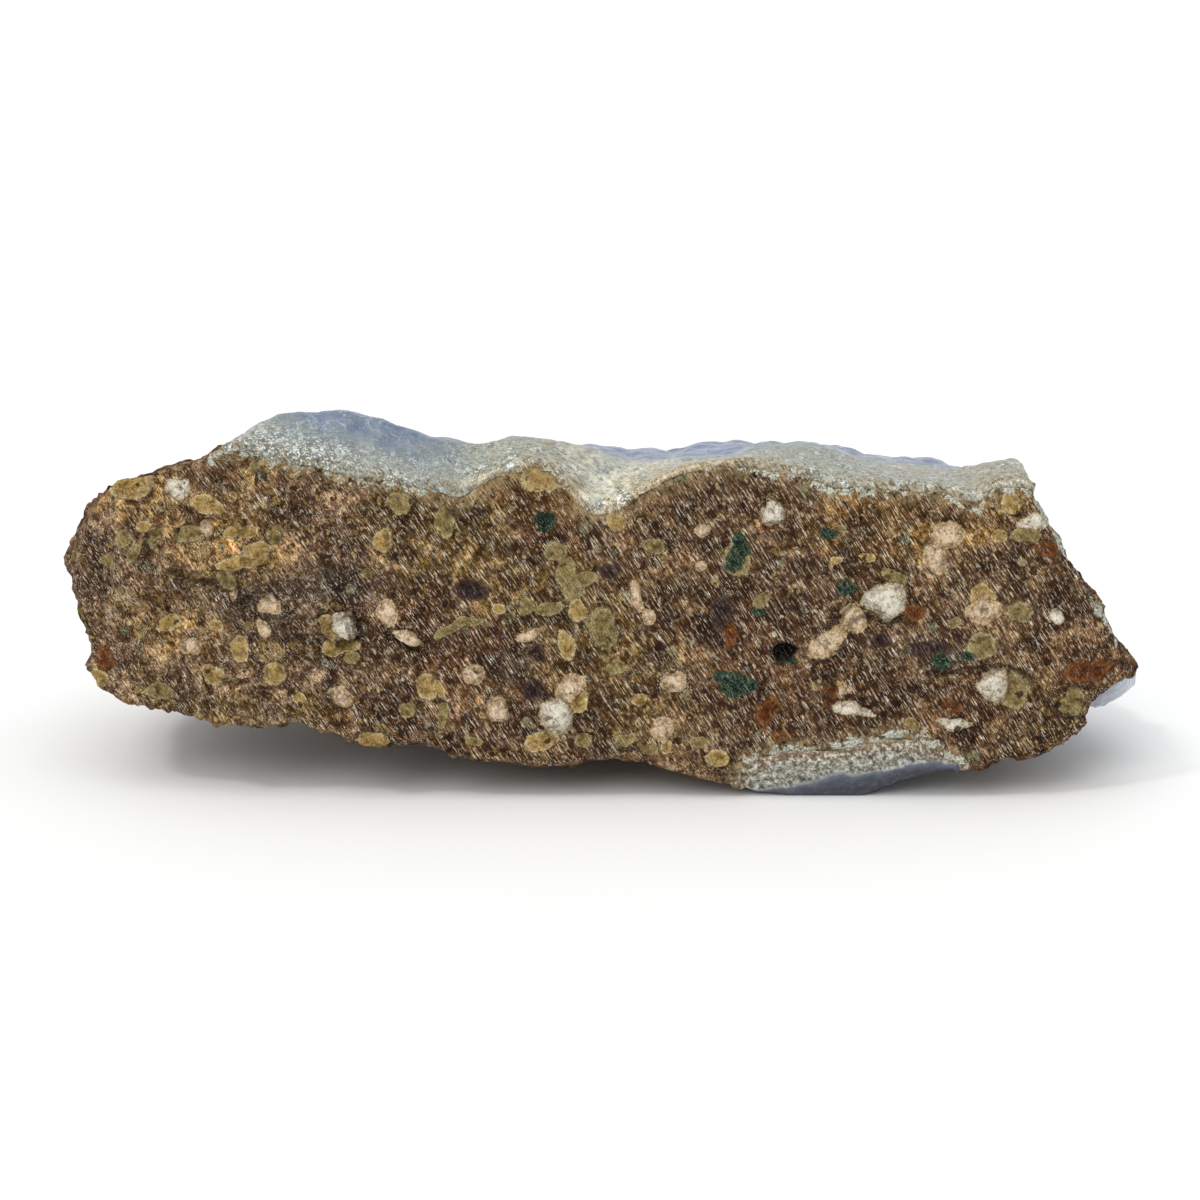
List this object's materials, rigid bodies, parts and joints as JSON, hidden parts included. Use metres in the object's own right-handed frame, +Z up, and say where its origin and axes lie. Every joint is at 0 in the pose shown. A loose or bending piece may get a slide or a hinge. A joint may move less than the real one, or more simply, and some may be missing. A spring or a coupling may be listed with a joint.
{
  "type": "blue lace agate geode",
  "caption": "Broken piece of geode wall: speckled brown volcanic rock around a hollow lined with domed, banded pale blue chalcedony, resting on a small flat spot.",
  "frame": {"origin": "under the middle of the stone's box, on the surface that it rests on", "axes": "+X along the length, to the right in the picture; +Y away from the camera, from the tall broken rock face towards the low far rim; +Z up"},
  "size_m": [0.1534, 0.07, 0.0539],
  "materials": {
    "host_rock": "rough broken brown volcanic rock with cream, olive and green clasts",
    "blue_agate": "waxy translucent blue chalcedony with white lace bands and a cream and green-grey broken rim",
    "seam_agate": "whitish chalcedony seam that turns blue-grey underneath"
  },
  "bodies": {
    "root": {"host_rock": "host_rock", "agate_lining": "blue_agate", "lower_agate_seam": "seam_agate"}
  },
  "joints": []
}
